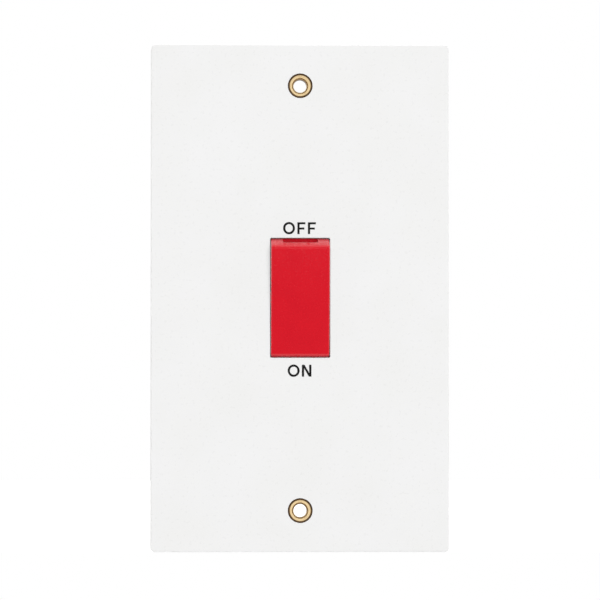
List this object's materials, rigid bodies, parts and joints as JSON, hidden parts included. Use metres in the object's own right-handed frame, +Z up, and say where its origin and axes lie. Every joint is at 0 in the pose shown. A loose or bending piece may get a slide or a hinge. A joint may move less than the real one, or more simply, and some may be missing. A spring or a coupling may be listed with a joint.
{
  "type": "double pole switch",
  "caption": "Tall white wall-plate switch with a red rocker that breaks live and neutral together, with tunnel terminals behind.",
  "frame": {"origin": "middle of the plate's rear rim, in the plane that meets the wall", "axes": "+Z up along the plate's long side, front face towards -Y, +X to the right as seen from the front"},
  "size_m": [0.0848, 0.0352, 0.1444],
  "materials": {
    "plate_white": "smooth moulded urea, white, glossy",
    "rocker_red": "moulded red, satin gloss",
    "eyelet_brass": "rolled and polished brass",
    "moulding_dark": "moulded phenolic, black, fine matt",
    "plunger_nylon": "moulded natural nylon",
    "spring_steel": "drawn spring wire",
    "contact_copper": "pressed copper strip",
    "contact_silver": "silver alloy button",
    "terminal_brass": "sawn and drilled brass bar",
    "screw_steel": "zinc plated steel, turned"
  },
  "bodies": {
    "housing": {"front_plate": "plate_white", "upper_eyelet": "eyelet_brass", "lower_eyelet": "eyelet_brass", "rocker_frame": "moulding_dark", "mechanism_base": "moulding_dark", "live_fixed_tip": "contact_silver", "live_supply_terminal": "terminal_brass", "live_load_terminal": "terminal_brass", "neutral_fixed_tip": "contact_silver", "neutral_supply_terminal": "terminal_brass", "neutral_load_terminal": "terminal_brass", "lower_left_module_screw": "screw_steel", "upper_left_module_screw": "screw_steel", "lower_right_module_screw": "screw_steel", "upper_right_module_screw": "screw_steel", "earth_terminal": "terminal_brass"},
    "rocker_body": {"rocker": "rocker_red", "live_spring": "spring_steel", "neutral_spring": "spring_steel"},
    "live_plunger_body": {"live_plunger": "plunger_nylon"},
    "live_seesaw": {"live_moving_contact": "contact_copper", "live_moving_tip": "contact_silver"},
    "neutral_plunger_body": {"neutral_plunger": "plunger_nylon"},
    "neutral_seesaw": {"neutral_moving_contact": "contact_copper", "neutral_moving_tip": "contact_silver"},
    "live_supply_screw_inner_body": {"live_supply_screw_inner": "screw_steel"},
    "live_supply_screw_outer_body": {"live_supply_screw_outer": "screw_steel"},
    "live_load_screw_inner_body": {"live_load_screw_inner": "screw_steel"},
    "live_load_screw_outer_body": {"live_load_screw_outer": "screw_steel"},
    "neutral_supply_screw_inner_body": {"neutral_supply_screw_inner": "screw_steel"},
    "neutral_supply_screw_outer_body": {"neutral_supply_screw_outer": "screw_steel"},
    "neutral_load_screw_inner_body": {"neutral_load_screw_inner": "screw_steel"},
    "neutral_load_screw_outer_body": {"neutral_load_screw_outer": "screw_steel"},
    "earth_screw_left_body": {"earth_screw_left": "screw_steel"},
    "earth_screw_right_body": {"earth_screw_right": "screw_steel"}
  },
  "joints": [
    {"name": "rocker_rock", "type": "hinge", "parent": "housing", "child": "rocker_body", "pos_m": [0, -0.004, 0], "axis": [1, 0, 0], "range_deg": [-16, 0]},
    {"name": "live_plunger_slide", "type": "slide", "parent": "rocker_body", "child": "live_plunger_body", "axis": [0, -0.9903, -0.1392], "range_m": [0, 0.001], "stiffness_N_per_m": 1500, "deforming": ["live_spring"]},
    {"name": "live_contact_rock", "type": "hinge", "parent": "housing", "child": "live_seesaw", "pos_m": [0, 0.0118, 0], "axis": [1, 0, 0], "range_deg": [0, 16]},
    {"name": "neutral_plunger_slide", "type": "slide", "parent": "rocker_body", "child": "neutral_plunger_body", "axis": [0, -0.9903, -0.1392], "range_m": [0, 0.001], "stiffness_N_per_m": 1500, "deforming": ["neutral_spring"]},
    {"name": "neutral_contact_rock", "type": "hinge", "parent": "housing", "child": "neutral_seesaw", "pos_m": [0, 0.0118, 0], "axis": [1, 0, 0], "range_deg": [0, 16]},
    {"name": "live_supply_screw_inner_travel", "type": "slide", "parent": "housing", "child": "live_supply_screw_inner_body", "axis": [0, -1, 0], "range_m": [0, 0.0045]},
    {"name": "live_supply_screw_outer_travel", "type": "slide", "parent": "housing", "child": "live_supply_screw_outer_body", "axis": [0, -1, 0], "range_m": [0, 0.0045]},
    {"name": "live_load_screw_inner_travel", "type": "slide", "parent": "housing", "child": "live_load_screw_inner_body", "axis": [0, -1, 0], "range_m": [0, 0.0045]},
    {"name": "live_load_screw_outer_travel", "type": "slide", "parent": "housing", "child": "live_load_screw_outer_body", "axis": [0, -1, 0], "range_m": [0, 0.0045]},
    {"name": "neutral_supply_screw_inner_travel", "type": "slide", "parent": "housing", "child": "neutral_supply_screw_inner_body", "axis": [0, -1, 0], "range_m": [0, 0.0045]},
    {"name": "neutral_supply_screw_outer_travel", "type": "slide", "parent": "housing", "child": "neutral_supply_screw_outer_body", "axis": [0, -1, 0], "range_m": [0, 0.0045]},
    {"name": "neutral_load_screw_inner_travel", "type": "slide", "parent": "housing", "child": "neutral_load_screw_inner_body", "axis": [0, -1, 0], "range_m": [0, 0.0045]},
    {"name": "neutral_load_screw_outer_travel", "type": "slide", "parent": "housing", "child": "neutral_load_screw_outer_body", "axis": [0, -1, 0], "range_m": [0, 0.0045]},
    {"name": "earth_screw_left_travel", "type": "slide", "parent": "housing", "child": "earth_screw_left_body", "axis": [0, -1, 0], "range_m": [0, 0.003]},
    {"name": "earth_screw_right_travel", "type": "slide", "parent": "housing", "child": "earth_screw_right_body", "axis": [0, -1, 0], "range_m": [0, 0.003]}
  ],
  "couplings": [
    {"joint": "live_contact_rock", "follows": "rocker_rock", "ratio": -1},
    {"joint": "neutral_contact_rock", "follows": "rocker_rock", "ratio": -1}
  ]
}
